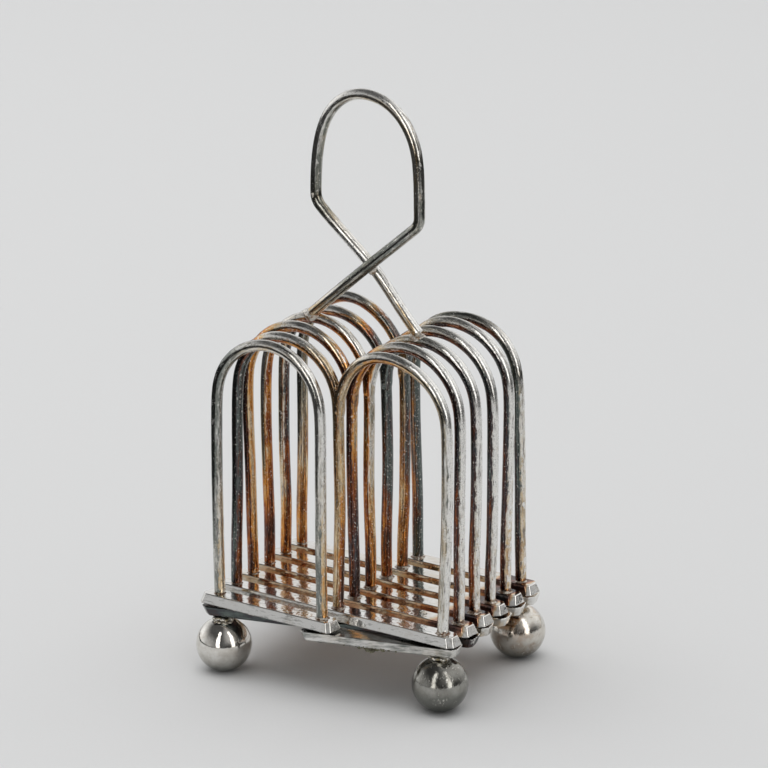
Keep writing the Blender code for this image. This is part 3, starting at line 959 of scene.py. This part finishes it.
def ball_plate(name, film, scuffs, dull):
    """Smooth bright plate with cloudy tarnish and fine scuffs, dulled all over and darkened towards the
    bottom by painted shade.
    """
    material, tree, shader = start_finish(name)
    place = add_node(tree, "ShaderNodeTexCoord").outputs["Object"]
    clouds = grain(tree, place, 0.0050, detail=4, roughness=0.6)
    mottle = grain(tree, place, 0.0011, detail=5, roughness=0.7)
    scratches = grain(tree, place, 0.00035, detail=3, roughness=0.6, stretch=(6, 1, 2))
    thickness = with_added(tree, film, spread(tree, clouds, 0.35, 0.7, -0.6, 1), 0.10)
    spots = spread(tree, mottle, 0.4, 0.7, -0.3, 1)
    thickness = with_added(tree, thickness, spots, 0.06 * scuffs)
    colour = tarnish_colour(tree, thickness)
    marks = spread(tree, mottle, 0.58, 0.68, 0.0, 0.75 * scuffs)
    colour = mix_colour(tree, marks, colour, BALL_SCUFF)
    clouded = spread(tree, clouds, 0.45, 0.62, 0.0, 0.5 * scuffs)
    colour = mix_colour(tree, clouded, colour, BALL_CLOUD)
    height_up = add_node(tree, "ShaderNodeSeparateXYZ", {0: place}).outputs[2]
    # Painted shade: the colour darkens from the middle of the ball to its bottom, standing in for the
    # shadowed floor it mirrors there.
    under = spread(tree, height_up, BALL_CENTRE_Z, 0.0, dull, dull + 0.75)
    under = with_added(tree, under, swing(tree, clouds), 0.15)
    colour = mix_colour(tree, spread(tree, under, 0.0, 1.0, 0.0, 0.95), colour, BALL_DULL_AND_SHADE)
    rubs = grain(tree, place, 0.00050, detail=4, roughness=0.7, stretch=(1, 4, 3))
    scraped = multiplied(tree, spread(tree, rubs, 0.56, 0.62), spread(tree, clouds, 0.52, 0.60))
    scraped = multiplied(tree, scraped, 0.9 * scuffs)
    colour = mix_colour(tree, scraped, colour, BALL_SCRAPED)
    roughness = spread(tree, mottle, 0.35, 0.7, 0.05, 0.06 + 0.16 * scuffs)
    roughness = with_added(tree, roughness, scraped, 0.25)
    height = with_added(tree, clouds, scratches, 0.4 * scuffs)
    height = with_added(tree, height, mottle, 0.35 * scuffs)
    finish_metal(tree, shader, colour, roughness, height, BALL_RELIEF)
    return material


def ball_outline():
    """Half the outline of a ball, from the floor of its recess over the rim and down to its flat."""
    recess = RIVET_HEAD_RADIUS + BALL_INSET
    recess_z = LOWER_BOTTOM_Z - 0.0003 - RIVET_HEAD_THICKNESS - 0.0003
    outline = [(0, recess_z - 0.0006), (recess - 0.0004, recess_z - 0.0006)]
    first = math.acos(recess / BALL_RADIUS)
    last = -math.acos(BALL_FLAT_RADIUS / BALL_RADIUS)
    for i in range(BALL_RINGS + 1):
        angle = first + (last - first) * i / BALL_RINGS
        outline.append((BALL_RADIUS * math.cos(angle), BALL_CENTRE_Z + BALL_RADIUS * math.sin(angle)))
    return outline + [(0, outline[-1][1])]


def turned_mesh(name, outline, place, sides):
    """Spins an outline of (radius, height) into a closed solid."""
    solid = bmesh.new()
    verts = [solid.verts.new((radius, 0, z)) for radius, z in outline]
    edges = [solid.edges.new(pair) for pair in zip(verts, verts[1:])]
    whole_turn = {"cent": (0, 0, 0), "axis": (0, 0, 1), "angle": 2 * math.pi}
    bmesh.ops.spin(solid, geom=verts + edges, steps=sides, use_merge=True, **whole_turn)
    bmesh.ops.remove_doubles(solid, verts=solid.verts, dist=1e-6)
    bmesh.ops.recalc_face_normals(solid, faces=solid.faces)
    for vert in solid.verts:
        vert.co += vert.normal * 0.00004 * noise.noise(vert.co * 260 + place * 90)
        vert.co += place
    mesh = finished_solid(name, solid)
    mesh.shade_smooth()
    mesh.set_sharp_from_angle(angle=math.radians(40))
    return mesh


for node, (lower, place, film, scuffs, dull) in BALLS.items():
    mesh = turned_mesh(f"{node}_turned", ball_outline(), place, BALL_SIDES)
    finish = ball_plate(f"{node}_plate", film, scuffs, dull)
    add_piece(f"{node}_turned", mesh, finish, lower_body(lower), node)


# The solder: a ring round the foot of each leg, a web where two arches share a leg, a blob under each end of
# the handle, some at its crossing and left bend, and a ragged band between each ball and its bar. It was run
# in with a torch, so it is lumpy, and what flux was left on it has gone brown and green.
RING_HEIGHT = 0.0008
RING_SPREAD = 0.00055
RING_LUMPS = 0.0007
SOLDER_PIT = (0.12, 0.10, 0.08)
SOLDER_RELIEF = 0.00025
SOLDER_GRID = 0.00020
SMALL_GRID = 0.00014
WEB_STEP = 0.00035
BAND_REACH = 0.0027
ROUND = (1, 1, 1)             # a blob that isn't stretched


def solder_plate(name, bright, dull, dull_share):
    """Frosty solder, from bright to the colour of burnt flux."""
    material, tree, shader = start_finish(name)
    place = add_node(tree, "ShaderNodeTexCoord").outputs["Object"]
    lumps = grain(tree, place, 0.0014, detail=4, roughness=0.65)
    pits = grain(tree, place, 0.0004, detail=3, roughness=0.6)
    share = spread(tree, lumps, 0.62 - 0.3 * dull_share, 0.74 - 0.3 * dull_share)
    colour = mix_colour(tree, share, bright, dull)
    colour = mix_colour(tree, spread(tree, pits, 0.6, 0.7, 0, 0.6), colour, SOLDER_PIT)
    roughness = spread(tree, lumps, 0.3, 0.7, 0.20, 0.42)
    height = with_added(tree, lumps, pits, 0.3)
    finish_metal(tree, shader, colour, roughness, height, SOLDER_RELIEF)
    return material


def ring_tree():
    """A concave ring of solder round each point, each one different."""
    inputs = {
        "Feet": "Geometry",
        "Inner Radius": "Float",
        "Spread": "Float",
        "Height": "Float",
        "Lumps": "Float",
        "Finish": "Material",
    }
    tree, given = start_tree("solder_rings", inputs, "Rings")
    outer = blend_values(tree, "ADD", given["Inner Radius"], given["Spread"])
    cone_inputs = {
        "Vertices": 28,
        "Side Segments": 5,
        "Radius Top": given["Inner Radius"],
        "Radius Bottom": outer,
        "Depth": given["Height"],
    }
    cone = add_node(tree, "GeometryNodeMeshCone", cone_inputs, fill_type="NGON").outputs[0]
    spot = add_node(tree, "GeometryNodeInputPosition").outputs[0]
    height = add_node(tree, "ShaderNodeSeparateXYZ", {0: spot}).outputs[2]
    share = blend_values(tree, "DIVIDE", height, given["Height"])
    bulge = multiplied(tree, blend_values(tree, "SUBTRACT", 1.0, share), share)
    waist = with_added(tree, 1.0, bulge, -0.75)
    widths = add_node(tree, "ShaderNodeCombineXYZ", {"X": waist, "Y": waist, "Z": 1.0}).outputs[0]
    hollow = blend_vectors(tree, "MULTIPLY", spot, widths)
    cone = add_node(tree, "GeometryNodeSetPosition", {"Geometry": cone, "Position": hollow}).outputs[0]
    sizes = {"Min": (0.88, 0.88, 0.7), "Max": (1.12, 1.12, 1.3), "Seed": 4}
    size = add_node(tree, "FunctionNodeRandomValue", sizes, data_type="FLOAT_VECTOR").outputs[0]
    placed = {"Points": given["Feet"], "Instance": cone, "Scale": size}
    rings = add_node(tree, "GeometryNodeInstanceOnPoints", placed).outputs[0]
    rings = add_node(tree, "GeometryNodeRealizeInstances", {"Geometry": rings}).outputs[0]
    rough = {"Vector": spot, "Scale": 900.0, "Detail": 1.0}
    lumpy = add_node(tree, "ShaderNodeTexNoise", rough).outputs["Fac"]
    centred = blend_values(tree, "SUBTRACT", lumpy, 0.5)
    depth = multiplied(tree, centred, given["Lumps"])
    normal = add_node(tree, "GeometryNodeInputNormal").outputs[0]
    offset = scaled_vector(tree, blend_vectors(tree, "MULTIPLY", normal, (1, 1, 0.3)), depth)
    rings = add_node(tree, "GeometryNodeSetPosition", {"Geometry": rings, "Offset": offset}).outputs[0]
    add_node(tree, "NodeGroupOutput", {"Rings": smooth_and_coloured(tree, rings, given["Finish"])})
    return tree


def melted(name, blobs, grid, lumps):
    """Balls given as (centre, radius, stretch), run together like solder and left slightly lumpy."""
    heap = bmesh.new()
    for centre, radius, stretch in blobs:
        made = bmesh.ops.create_icosphere(heap, subdivisions=3, radius=radius)
        bmesh.ops.scale(heap, verts=made["verts"], vec=stretch)
        bmesh.ops.translate(heap, verts=made["verts"], vec=centre)
    holder = new_object(name, finished_solid(name, heap))
    skin = holder.modifiers.new("skin", "REMESH")
    skin.mode = "VOXEL"
    skin.voxel_size = grid
    run = holder.modifiers.new("run", "SMOOTH")
    run.factor = 0.5
    run.iterations = 6
    done = applied(holder)
    bpy.data.objects.remove(holder)
    for vert in done.vertices:
        vert.co += vert.normal * lumps * noise.noise(vert.co * 1100)
    done.shade_smooth()
    done.name = name
    return done


def crotch_web(k):
    """Wraps the place where two wires leave a shared leg, and fades into them above and below."""
    axis = centre_pivot(k) + SIDEWAYS * CENTRE_SWAY[k] + Vector((0, 0, BAR_TOP_Z + LEG_HEIGHT))
    blobs = []
    for i in range(22):
        up = WEB_STEP * i - 0.0016
        apart = ARCH_RADIUS - math.sqrt(ARCH_RADIUS ** 2 - max(0, up) ** 2)
        girth = WIRE_RADIUS * (0.96 + 0.13 * eased(i / 4) * eased((21 - i) / 12))
        for side in (-1, 1):
            blobs.append((axis + UPPER_ALONG * apart * side + Vector((0, 0, up)), girth, ROUND))
        if up < 0.0056:
            blobs.append((axis + Vector((0, 0, up)), girth * 0.93, ROUND))
    return blobs


def make_crotch(k, material):
    """The web takes the colours of the leg it sits on."""
    mesh = melted(f"crotch_solder_{k}", crotch_web(k), SOLDER_GRID, 0.00002)
    marks = wire_marks(ARCH_HABITS["left", k], 0.75)
    for mark, level in zip(WIRE_MARKS, marks):
        point_values(mesh, mark, [level] * len(mesh.vertices))
    point_values(mesh, "rubbed", [0.0] * len(mesh.vertices))
    point_values(mesh, "inside", [0.5 - 0.5 * vert.normal.dot(SIDEWAYS) for vert in mesh.vertices])
    places = mesh.attributes.new("wire_place", "FLOAT_VECTOR", "POINT")
    for vert, spot in zip(mesh.vertices, places.data):
        spot.vector = vert.co
    add_piece(f"crotch_solder_{k}", mesh, material, frame_body(k))


def handle_foot(side):
    """A blob of solder under one end of the handle, on the crown of its arch."""
    crown = centre_pivot(MIDDLE_FRAME) + UPPER_ALONG * ARCH_RADIUS * side
    crown -= UPPER_ALONG * (HANDLE_LEFT_FOOT_OUT if side < 0 else HANDLE_RIGHT_FOOT_IN)
    crown.z = BAR_TOP_Z + LEG_HEIGHT + ARCH_RADIUS
    blobs = [(crown + Vector((0, 0, 0.0003)), 0.0019, (1.3, 1.0, 0.75))]
    for i in range(5):
        along = UPPER_ALONG * (i - 2) * 0.0009
        rise = Vector((0, 0, 0.0010 - 0.0003 * abs(i - 2)))
        blobs.append((crown + along + rise, 0.0011, (1, 1.1, 1)))
    return blobs


def crossing_blobs():
    """A little solder between the two wires of the handle, where they cross."""
    middle = centre_pivot(MIDDLE_FRAME) + UPPER_ALONG * 0.0014
    middle.z = BAR_TOP_Z + LEG_HEIGHT + ARCH_RADIUS + HANDLE_CROSS_RISE / 2 + 0.0012
    steps = (-0.0010, -0.0005, 0, 0.0010)
    return [(middle + Vector((0, 0, step)), 0.0013 - 0.25 * abs(step), ROUND) for step in steps]


def bend_bead():
    """A bead of solder left on the front of the wire, just over the left bend."""
    spot = centre_pivot(MIDDLE_FRAME) - UPPER_ALONG * HANDLE_WIDTH / 2
    spot += Vector((UPPER_ALONG.y, -UPPER_ALONG.x, 0)) * WIRE_RADIUS
    spot.z = BAR_TOP_Z + LEG_HEIGHT + ARCH_RADIUS + HANDLE_CROSS_RISE + HANDLE_LEFT_RISE + 0.0026
    wire = bpy.data.objects["handle_loop"].data.vertices
    nearest = min(wire, key=lambda vert: (vert.co - spot).length).co
    return [(nearest, 0.00050, ROUND), (nearest - Vector((0, 0, 0.0007)), 0.00035, ROUND)]


def ball_band(place, chance):
    """A ragged band of solder between a ball and its bar."""
    top = Vector((place.x, place.y, LOWER_BOTTOM_Z))
    blobs = [(top - Vector((0, 0, 0.0008)), 0.0028, (1, 1, 0.36))]
    for i in range(30):
        angle = 2 * math.pi * i / 30
        reach = BAND_REACH + chance.uniform(-0.0003, 0.0005)
        drop = chance.uniform(0.0003, 0.0010)
        size = chance.uniform(0.00035, 0.00060)
        spot = top + Vector((reach * math.cos(angle), reach * math.sin(angle), -drop))
        blobs.append((spot, size, ROUND))
    return blobs


ring_metal = solder_plate("ring_solder", (0.58, 0.54, 0.48), (0.20, 0.12, 0.08), 0.60)
band_metal = solder_plate("band_solder", (0.80, 0.77, 0.72), (0.26, 0.22, 0.14), 0.55)
crown_metal = solder_plate("crown_solder", (0.72, 0.68, 0.62), (0.30, 0.20, 0.12), 0.4)
solder_rings = ring_tree()
for k in range(LAST_FRAME + 1):
    feet = [centre_pivot(k)]
    feet += [left_pivot(k)] if k < LAST_FRAME else []
    feet += [right_pivot(k)] if k > 0 else []
    start = bpy.data.meshes.new("feet")
    start.from_pydata([foot + Vector((0, 0, BAR_TOP_Z - 0.00005)) for foot in feet], [], [])
    values = {
        "Inner Radius": WIRE_RADIUS * 1.02,
        "Spread": RING_SPREAD,
        "Height": RING_HEIGHT,
        "Lumps": RING_LUMPS,
        "Finish": ring_metal,
    }
    mesh = grown_mesh(start, solder_rings, values, f"foot_solder_{k}")
    add_piece(f"foot_solder_{k}", mesh, ring_metal, frame_body(k))
for k in range(1, LAST_FRAME):
    make_crotch(k, wire_metal)
for side, end in ((-1, "left"), (1, "right")):
    blob = melted(f"handle_solder_{end}", handle_foot(side), SOLDER_GRID, 0.00010)
    add_piece(f"handle_solder_{end}", blob, crown_metal, "middle_frame")
for name, blobs in (("handle_solder_crossing", crossing_blobs()), ("handle_solder_bead", bend_bead())):
    blob = melted(name, blobs, SMALL_GRID, 0.00005)
    add_piece(name, blob, crown_metal, "middle_frame")
for i, (node, made) in enumerate(BALLS.items()):
    band = melted(f"{node}_solder", ball_band(made[1], random.Random(i)), SOLDER_GRID, 0.00012)
    add_piece(f"{node}_solder", band, band_metal, lower_body(made[0]))


# The crust under the front lower bar: old flux and green corrosion that have gathered in a lump, with pale
# grains along the edge of the bar.
CRUST_ALONG = 0.0150          # from the front middle pivot
CRUST_HALF_LENGTH = 0.0042
CRUST_DEPTH = 0.0019
CRUST_DARK = (0.09, 0.075, 0.04)
CRUST_GREEN = (0.20, 0.20, 0.12)
CRUST_PALE = (0.62, 0.60, 0.50)
CRUST_RELIEF = 0.0003
CRUST_GRID = 0.00018


def crust_finish():
    material, tree, shader = start_finish("crust", metallic=0.0, roughness=0.55)
    place = add_node(tree, "ShaderNodeTexCoord").outputs["Object"]
    lumps = grain(tree, place, 0.0012, detail=4)
    grains = grain(tree, place, 0.0005, detail=2)
    colour = mix_colour(tree, spread(tree, lumps, 0.35, 0.65), CRUST_DARK, CRUST_GREEN)
    colour = mix_colour(tree, spread(tree, grains, 0.60, 0.70), colour, CRUST_PALE)
    tree.links.new(colour, shader.inputs["Base Color"])
    height = with_added(tree, lumps, grains, 0.5)
    bump = add_node(tree, "ShaderNodeBump", {"Height": height, "Distance": CRUST_RELIEF, "Strength": 1.0})
    tree.links.new(bump.outputs["Normal"], shader.inputs["Normal"])
    return material


def crust_blobs():
    chance = random.Random(8)
    base = centre_pivot(0) + LOWER_ALONG * CRUST_ALONG
    across = Vector((-LOWER_ALONG.y, LOWER_ALONG.x, 0))
    blobs = []
    for i in range(34):
        share = chance.uniform(-1, 1)
        deep = CRUST_DEPTH * (1 - abs(share)) * chance.uniform(0.2, 0.8)
        spot = base + LOWER_ALONG * CRUST_HALF_LENGTH * share - across * chance.uniform(-0.0004, 0.0018)
        spot += Vector((0, 0, LOWER_BOTTOM_Z - deep))
        blobs.append((spot, chance.uniform(0.0005, 0.0009), ROUND))
    for i in range(26):
        along = LOWER_ALONG * chance.uniform(-0.0075, 0.0085)
        spot = base + along - across * (BAR_NARROW_FACE / 2 + chance.uniform(-0.0001, 0.0002))
        spot += Vector((0, 0, LOWER_BOTTOM_Z + 0.0001))
        blobs.append((spot, chance.uniform(0.00018, 0.00032), ROUND))
    return blobs


crust = melted("flux_crust", crust_blobs(), CRUST_GRID, 0.00008)
add_piece("flux_crust", crust, crust_finish(), "lower_front_half")


# The studio: a pale paper floor that runs out of sight, a large soft light overhead and a soft one at the
# left. The polished metal also sees two tall lit windows, a dark room in front and the edges of the paper.
FLOOR_SIZE = 14.0
ROOM_RADIUS = 6.0
ROOM_DARK = 0.09
ROOM_PAPER = 0.70
ROOM_RIGHT = 0.72
ROOM_LEFT = 0.40
TABLE_END = 0.55
TABLE_LEFT = 0.16
TABLE_RIGHT = 0.40
FLOOR_PALE = (0.735, 0.735, 0.73)
FLOOR_FIBRE = (0.715, 0.715, 0.71)
TOP_LIGHT_HEIGHT = 2.2
TOP_LIGHT_AHEAD = 0.30
WINDOW_AZIMUTHS = {"left_window": 2, "right_window": 69}
WINDOW_DISTANCE = 2.0
WINDOW_WIDTH = 0.56
WINDOW_HEIGHT = 4.2
WINDOW_GLOW = 2.4
CAMERA_AZIMUTH = math.radians(28.495)
CAMERA_ELEVATION = math.radians(17.846)
CAMERA_DISTANCE = 1.4513
CAMERA_LENS = 242.55
CAMERA_ROLL = math.radians(-0.467)
CAMERA_RIGHT = Vector((math.cos(CAMERA_AZIMUTH), math.sin(CAMERA_AZIMUTH), 0))
CAMERA_AHEAD = Vector((-math.sin(CAMERA_AZIMUTH), math.cos(CAMERA_AZIMUTH), 0))
CAMERA_TARGET = CAMERA_RIGHT * 0.004217 + Vector((0, 0, 0.08326))


def direction(azimuth, elevation):
    """The direction from the rack for an azimuth from its front and an elevation, in degrees."""
    a = math.radians(azimuth)
    e = math.radians(elevation)
    return Vector((math.sin(a) * math.cos(e), -math.cos(a) * math.cos(e), math.sin(e)))


def soft_light(name, place, towards, size, power):
    """A square soft light that only lights: the metal does not mirror it."""
    light = bpy.data.lights.new(name, "AREA")
    light.shape = "SQUARE"
    light.size = size
    light.energy = power
    lamp = new_object(name, light)
    lamp.location = place
    lamp.rotation_euler = (place - towards).to_track_quat("Z", "Y").to_euler()
    lamp.visible_camera = False
    lamp.visible_glossy = False


def flat_sheet(name, corners, material):
    mesh = bpy.data.meshes.new(name)
    mesh.from_pydata(corners, [], [(0, 1, 2, 3)])
    mesh.materials.append(material)
    return new_object(name, mesh)


def make_floor():
    material, tree, shader = start_finish("floor_paper", metallic=0.0, roughness=0.9)
    place = add_node(tree, "ShaderNodeTexCoord").outputs["Object"]
    fibres = grain(tree, place, 0.0008, detail=2)
    tree.links.new(mix_colour(tree, fibres, FLOOR_FIBRE, FLOOR_PALE), shader.inputs["Base Color"])
    shader.inputs["Specular IOR Level"].default_value = 0.1
    half = FLOOR_SIZE / 2
    corners = [(-half, -half, 0), (half, -half, 0), (half, half, 0), (-half, half, 0)]
    flat_sheet("floor", corners, material)


def only_in_reflections(item):
    item.visible_camera = False
    item.visible_diffuse = False
    item.visible_shadow = False
    item.visible_transmission = False


def reflected_room():
    """What the metal sees beyond the floor: a dark room in front, pale paper behind, light at the right."""
    material = bpy.data.materials.new("reflected_room")
    material.use_nodes = True
    tree = material.node_tree
    tree.nodes.clear()
    place = add_node(tree, "ShaderNodeTexCoord").outputs["Object"]
    facing = add_node(tree, "ShaderNodeVectorMath", {0: place}, operation="NORMALIZE").outputs[0]
    parts = add_node(tree, "ShaderNodeSeparateXYZ", {0: facing}).outputs
    ahead = direction(math.degrees(CAMERA_AZIMUTH), 0)
    share = []
    for way in (ahead, CAMERA_RIGHT):
        pair = {0: facing, 1: way}
        dot = add_node(tree, "ShaderNodeVectorMath", pair, operation="DOT_PRODUCT")
        share.append(dot.outputs["Value"])
    towards, right = share
    behind = spread(tree, towards, 0.15, -0.55)
    low = spread(tree, parts[2], 0.75, 0.35)
    paper = multiplied(tree, multiplied(tree, behind, low), ROOM_PAPER)
    high = spread(tree, parts[2], 0.15, 0.6)
    above = multiplied(tree, high, spread(tree, right, -0.1, 0.5))
    level = with_added(tree, paper, above, ROOM_RIGHT)
    leftwards = spread(tree, right, -0.45, -0.85)
    beside = multiplied(tree, spread(tree, parts[2], 0.7, 0.3), leftwards)
    level = with_added(tree, level, beside, ROOM_LEFT)
    level = blend_values(tree, "ADD", level, ROOM_DARK)
    glow = add_node(tree, "ShaderNodeEmission", {"Strength": level})
    add_node(tree, "ShaderNodeOutputMaterial", {"Surface": glow.outputs[0]})
    dome = bmesh.new()
    bmesh.ops.create_uvsphere(dome, u_segments=48, v_segments=24, radius=ROOM_RADIUS)
    mesh = finished_solid("reflected_room", dome)
    mesh.materials.append(material)
    only_in_reflections(new_object("reflected_room", mesh))


def flat_card(name, corners, colour, glow):
    """A flat four-cornered card that only the metal sees."""
    material, tree, shader = start_finish(name, metallic=0.0, roughness=1.0)
    shader.inputs["Base Color"].default_value = (*colour, 1)
    shader.inputs["Specular IOR Level"].default_value = 0.0
    shader.inputs["Emission Color"].default_value = (1.0, 0.99, 0.97, 1)
    shader.inputs["Emission Strength"].default_value = glow
    only_in_reflections(flat_sheet(name, corners, material))


def lit_window(name, azimuth):
    """A tall lit panel that stands on the floor and faces the rack."""
    towards = direction(azimuth, 0)
    side = Vector((-towards.y, towards.x, 0)) * WINDOW_WIDTH / 2
    foot = towards * WINDOW_DISTANCE + Vector((0, 0, 0.02))
    top = foot + Vector((0, 0, WINDOW_HEIGHT))
    flat_card(name, (foot - side, foot + side, top + side, top - side), (0.1, 0.1, 0.1), WINDOW_GLOW)


def paper_edges():
    """Beyond the front and side edges of the paper the metal sees the dark floor of the room."""
    lift = Vector((0, 0, 0.002))
    front = -CAMERA_AHEAD * TABLE_END + lift
    far_front = -CAMERA_AHEAD * (ROOM_RADIUS - 0.5) + lift
    back = CAMERA_AHEAD * (ROOM_RADIUS - 0.5) + lift
    wide = CAMERA_RIGHT * (ROOM_RADIUS - 1.5)
    left = CAMERA_RIGHT * TABLE_LEFT
    right = CAMERA_RIGHT * TABLE_RIGHT
    floors = {
        "room_floor_front": (far_front - wide, far_front + wide, front + wide, front - wide),
        "room_floor_left": (front - wide, front - left, back - left, back - wide),
        "room_floor_right": (front + right, front + wide, back + wide, back + right),
    }
    for name, corners in floors.items():
        flat_card(name, corners, (0.05, 0.05, 0.05), 0.0)


def make_camera():
    data = bpy.data.cameras.new("camera")
    data.lens = CAMERA_LENS
    data.sensor_width = 36.0
    data.clip_start = 0.05
    data.clip_end = 50.0
    camera = new_object("camera", data)
    towards = direction(math.degrees(CAMERA_AZIMUTH), math.degrees(CAMERA_ELEVATION))
    camera.location = CAMERA_TARGET + towards * CAMERA_DISTANCE
    turn = towards.to_track_quat("Z", "Y").to_matrix().to_4x4()
    camera.rotation_euler = (turn @ Matrix.Rotation(CAMERA_ROLL, 4, "Z")).to_euler()
    bpy.context.scene.camera = camera


def make_world():
    world = bpy.data.worlds.new("studio")
    bpy.context.scene.world = world
    world.use_nodes = True
    background = world.node_tree.nodes["Background"]
    background.inputs["Color"].default_value = (0.93, 0.94, 0.96, 1)
    background.inputs["Strength"].default_value = 0.42


make_floor()
make_world()
below_top_light = CAMERA_AHEAD * TOP_LIGHT_AHEAD
over_rack = Vector((0, 0, TOP_LIGHT_HEIGHT)) + below_top_light
soft_light("top_light", over_rack, below_top_light, size=3.0, power=36)
soft_light("side_light", direction(-95, 52) * 2.0, CAMERA_TARGET, size=1.2, power=5)
for name, azimuth in WINDOW_AZIMUTHS.items():
    lit_window(name, azimuth)
reflected_room()
paper_edges()
make_camera()
bpy.context.scene.view_settings.view_transform = "Standard"
